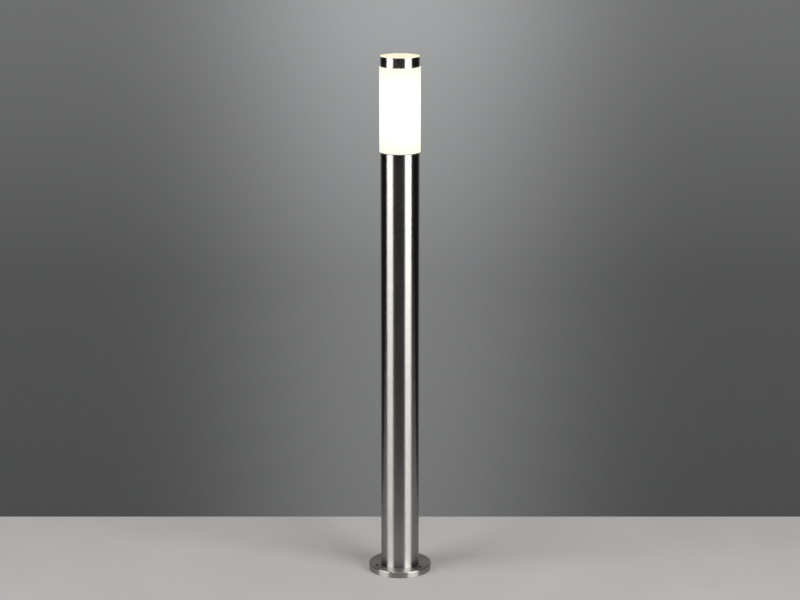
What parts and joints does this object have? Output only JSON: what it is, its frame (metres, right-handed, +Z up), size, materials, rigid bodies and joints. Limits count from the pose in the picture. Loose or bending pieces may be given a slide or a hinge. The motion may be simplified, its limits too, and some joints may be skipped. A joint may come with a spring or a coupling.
{
  "type": "bollard light",
  "caption": "Straight round brushed-steel bollard light on a screw-down disc foot, with a lit opal cylinder, a steel band and a lit top disc.",
  "frame": {"origin": "centre of the foot's underside, on the ground", "axes": "+Z up along the tube, front towards -Y; one fixing hole is at the back, two are at the front left and right"},
  "size_m": [0.125, 0.125, 1.04],
  "materials": {
    "brushed_stainless": "fine brushing that runs round the tube",
    "galvanised_steel": "dull zinc coating with faint spangle",
    "weld_steel": "rippled weld with heat tint",
    "zinc_screws": "bright zinc plating",
    "black_rubber": "matte black",
    "clear_silicone": "translucent, satin",
    "terminal_plastic": "off-white moulding, slightly grained",
    "grey_plastic": "moulded, slightly grained",
    "white_plastic": "white moulding, satin gloss",
    "brass": "turned, satin",
    "tinned_copper": "tin plating, satin",
    "nickel": "nickel plating, bright",
    "cast_aluminium": "pressed aluminium, satin",
    "porcelain": "white glaze",
    "black_glass": "dark glass bead",
    "lead_sheath": "black PVC sheath, satin",
    "live_insulation": "brown PVC",
    "neutral_insulation": "blue PVC",
    "earth_insulation": "green PVC with a yellow stripe",
    "board_white": "white solder resist on aluminium",
    "circuit_board": "green laminate with solder and parts",
    "opal_acrylic": "opal acrylic, satin, lit from inside",
    "lens_acrylic": "opal acrylic, satin, lit from below",
    "bulb_opal": "frosted opal, lit",
    "led_phosphor": "yellow phosphor, lit"
  },
  "bodies": {
    "pole": {"pole_tube": "brushed_stainless", "base_flange": "brushed_stainless", "base_plate": "galvanised_steel", "weld_bead": "weld_steel", "floor_spacers": "galvanised_steel", "base_seal": "black_rubber", "inner_bracket": "galvanised_steel", "terminal_block": "terminal_plastic", "terminal_sleeves": "brass", "terminal_screws": "zinc_screws", "terminal_fixing_screws": "zinc_screws", "earth_screw": "brass", "earth_washer": "brass", "earth_tag": "tinned_copper", "earth_core": "earth_insulation", "cable_clamp": "grey_plastic", "clamp_screws": "zinc_screws", "inner_lead": "lead_sheath", "live_core_lower": "live_insulation", "neutral_core_lower": "neutral_insulation", "carrier_ring": "galvanised_steel", "adapter": "white_plastic", "adapter_screws": "zinc_screws", "adapter_o_ring": "black_rubber", "head_gasket": "black_rubber", "gland_body": "grey_plastic", "gland_cap": "grey_plastic", "gland_nut": "grey_plastic", "gland_seal": "black_rubber", "lampholder_bracket": "galvanised_steel", "bracket_screws": "zinc_screws", "lampholder_body": "porcelain", "lampholder_shell": "nickel", "centre_contact": "brass", "side_contact": "brass", "lampholder_terminals": "brass", "lampholder_terminal_screws": "zinc_screws", "lampholder_screws": "zinc_screws", "live_core_upper": "live_insulation", "neutral_core_upper": "neutral_insulation"},
    "head": {"diffuser": "opal_acrylic", "trim_ring": "brushed_stainless", "top_lens": "lens_acrylic", "lens_seal": "clear_silicone"},
    "bulb": {"bulb_envelope": "bulb_opal", "bulb_housing": "white_plastic", "bulb_cap": "nickel", "bulb_insulator": "black_glass", "bulb_contact": "nickel", "bulb_led_board": "board_white", "bulb_leds": "led_phosphor", "bulb_driver": "circuit_board", "bulb_heat_sink": "cast_aluminium"}
  },
  "joints": [
    {"name": "head_lift", "type": "slide", "parent": "pole", "child": "head", "axis": [0, 0, 1], "range_m": [0, 0.15]},
    {"name": "bulb_lift", "type": "slide", "parent": "pole", "child": "bulb", "axis": [0, 0, 1], "range_m": [0, 0.03]}
  ]
}
